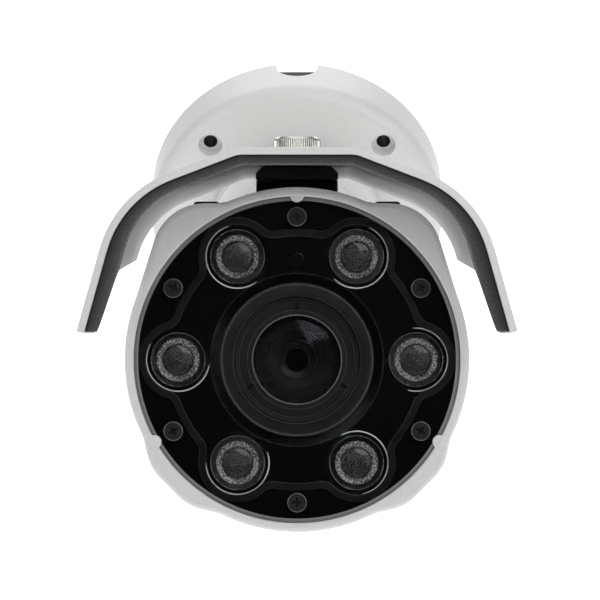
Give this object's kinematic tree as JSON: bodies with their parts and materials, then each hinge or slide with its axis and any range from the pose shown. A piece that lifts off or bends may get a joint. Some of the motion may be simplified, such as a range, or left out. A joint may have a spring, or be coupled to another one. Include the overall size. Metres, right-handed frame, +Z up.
{
  "type": "security camera",
  "caption": "Infrared bullet security camera on a wall bracket: round base, pan and tilt arm, sealed housing, sliding sun hood and adjustable lens.",
  "frame": {"origin": "centre of the wall base's mounting face", "axes": "+Z up, -Y out of the wall towards the viewer, +X to the viewer's right; the camera is tilted up 31 degrees at rest"},
  "size_m": [0.1308, 0.329, 0.2298],
  "materials": {
    "painted_housing": "die-cast or folded aluminium with a fine textured off-white powder coat",
    "glossy_window": "clear polished glass with bevelled edge",
    "black_plastic": "moulded black, satin",
    "black_rubber": "moulded rubber",
    "grey_gasket": "moulded dark grey gasket",
    "black_steel": "black oxide",
    "steel": "plain zinc",
    "nickel": "knurled nickel plate",
    "black_anodised": "black anodised, turned",
    "clear_plastic": "clear moulded optic",
    "lens_glass": "coated optical glass",
    "emitter": "emitter package",
    "circuit_board": "glass-fibre laminate, green mask",
    "aluminium": "sheet, mill finish",
    "component": "moulded chip package",
    "dark_lining": "grainy dark grey anti-glare film"
  },
  "bodies": {
    "base": {"wall_base": "painted_housing", "base_gasket": "black_rubber", "conduit_plug": "black_rubber", "pan_washer": "black_plastic"},
    "arm": {"pan_arm": "painted_housing", "pan_clip": "steel", "arm_lock_screw": "steel", "tilt_bolt": "steel", "tilt_nut": "steel", "tilt_washers": "black_plastic"},
    "knuckle": {"tilt_knuckle": "painted_housing", "roll_lock_screw": "steel", "roll_nut": "steel"},
    "camera": {"rear_cap": "painted_housing", "rear_seal": "black_rubber", "cap_screws": "steel", "cable_gland": "black_rubber", "housing_tube": "painted_housing", "front_seal": "black_rubber", "front_bezel": "painted_housing", "bezel_screws": "steel", "window": "glossy_window", "window_screws": "black_steel", "window_gasket": "grey_gasket", "mask_plate": "black_plastic", "led_board": "circuit_board", "led_emitters": "emitter", "led_lenses": "clear_plastic", "photocell": "component", "lens_barrel": "black_anodised", "lens_retaining_ring": "black_anodised", "front_element": "lens_glass", "inner_elements": "lens_glass", "lens_baffle": "black_rubber", "lens_mount": "aluminium", "filter_frame": "black_plastic", "image_sensor": "component", "sensor_board": "circuit_board", "sensor_posts": "steel", "chassis": "aluminium", "main_board": "circuit_board", "power_board": "circuit_board", "board_posts": "steel", "processor": "component", "network_socket": "steel", "power_coils": "component", "rail_block": "black_plastic", "rail_screws": "steel", "rail_nut": "steel"},
    "hood": {"hood_shell": "painted_housing", "glare_lining": "dark_lining"},
    "thumb": {"thumb_screw": "nickel", "thumb_washer": "nickel"},
    "zoom": {"zoom_ring": "black_anodised", "zoom_lever": "steel"},
    "focus": {"focus_ring": "black_anodised", "focus_lever": "steel"},
    "filter": {"ir_cut_filter": "lens_glass"}
  },
  "joints": [
    {"name": "pan", "type": "hinge", "parent": "base", "child": "arm", "pos_m": [0, -0.0115, 0], "axis": [0, -1, 0], "range_deg": [-180, 180]},
    {"name": "tilt", "type": "hinge", "parent": "arm", "child": "knuckle", "pos_m": [0, -0.1155, 0], "axis": [-1, 0, 0], "range_deg": [-31, 59]},
    {"name": "roll", "type": "hinge", "parent": "knuckle", "child": "camera", "pos_m": [0, -0.14122, 0.01545], "axis": [0, -0.8572, 0.515], "range_deg": [-180, 180]},
    {"name": "hood_slide", "type": "slide", "parent": "camera", "child": "hood", "axis": [0, -0.8572, 0.515], "range_m": [-0.012, 0.012]},
    {"name": "thumb_turn", "type": "hinge", "parent": "camera", "child": "thumb", "pos_m": [0, -0.2046, 0.12354], "axis": [0, 0.515, 0.8572], "continuous": true},
    {"name": "zoom_turn", "type": "hinge", "parent": "camera", "child": "zoom", "pos_m": [0, -0.26122, 0.08756], "axis": [0, -0.8572, 0.515], "range_deg": [-35, 35]},
    {"name": "focus_turn", "type": "hinge", "parent": "camera", "child": "focus", "pos_m": [0, -0.27665, 0.09683], "axis": [0, -0.8572, 0.515], "range_deg": [-40, 40]},
    {"name": "filter_shift", "type": "slide", "parent": "camera", "child": "filter", "axis": [1, 0, 0], "range_m": [0, 0.01]}
  ]
}
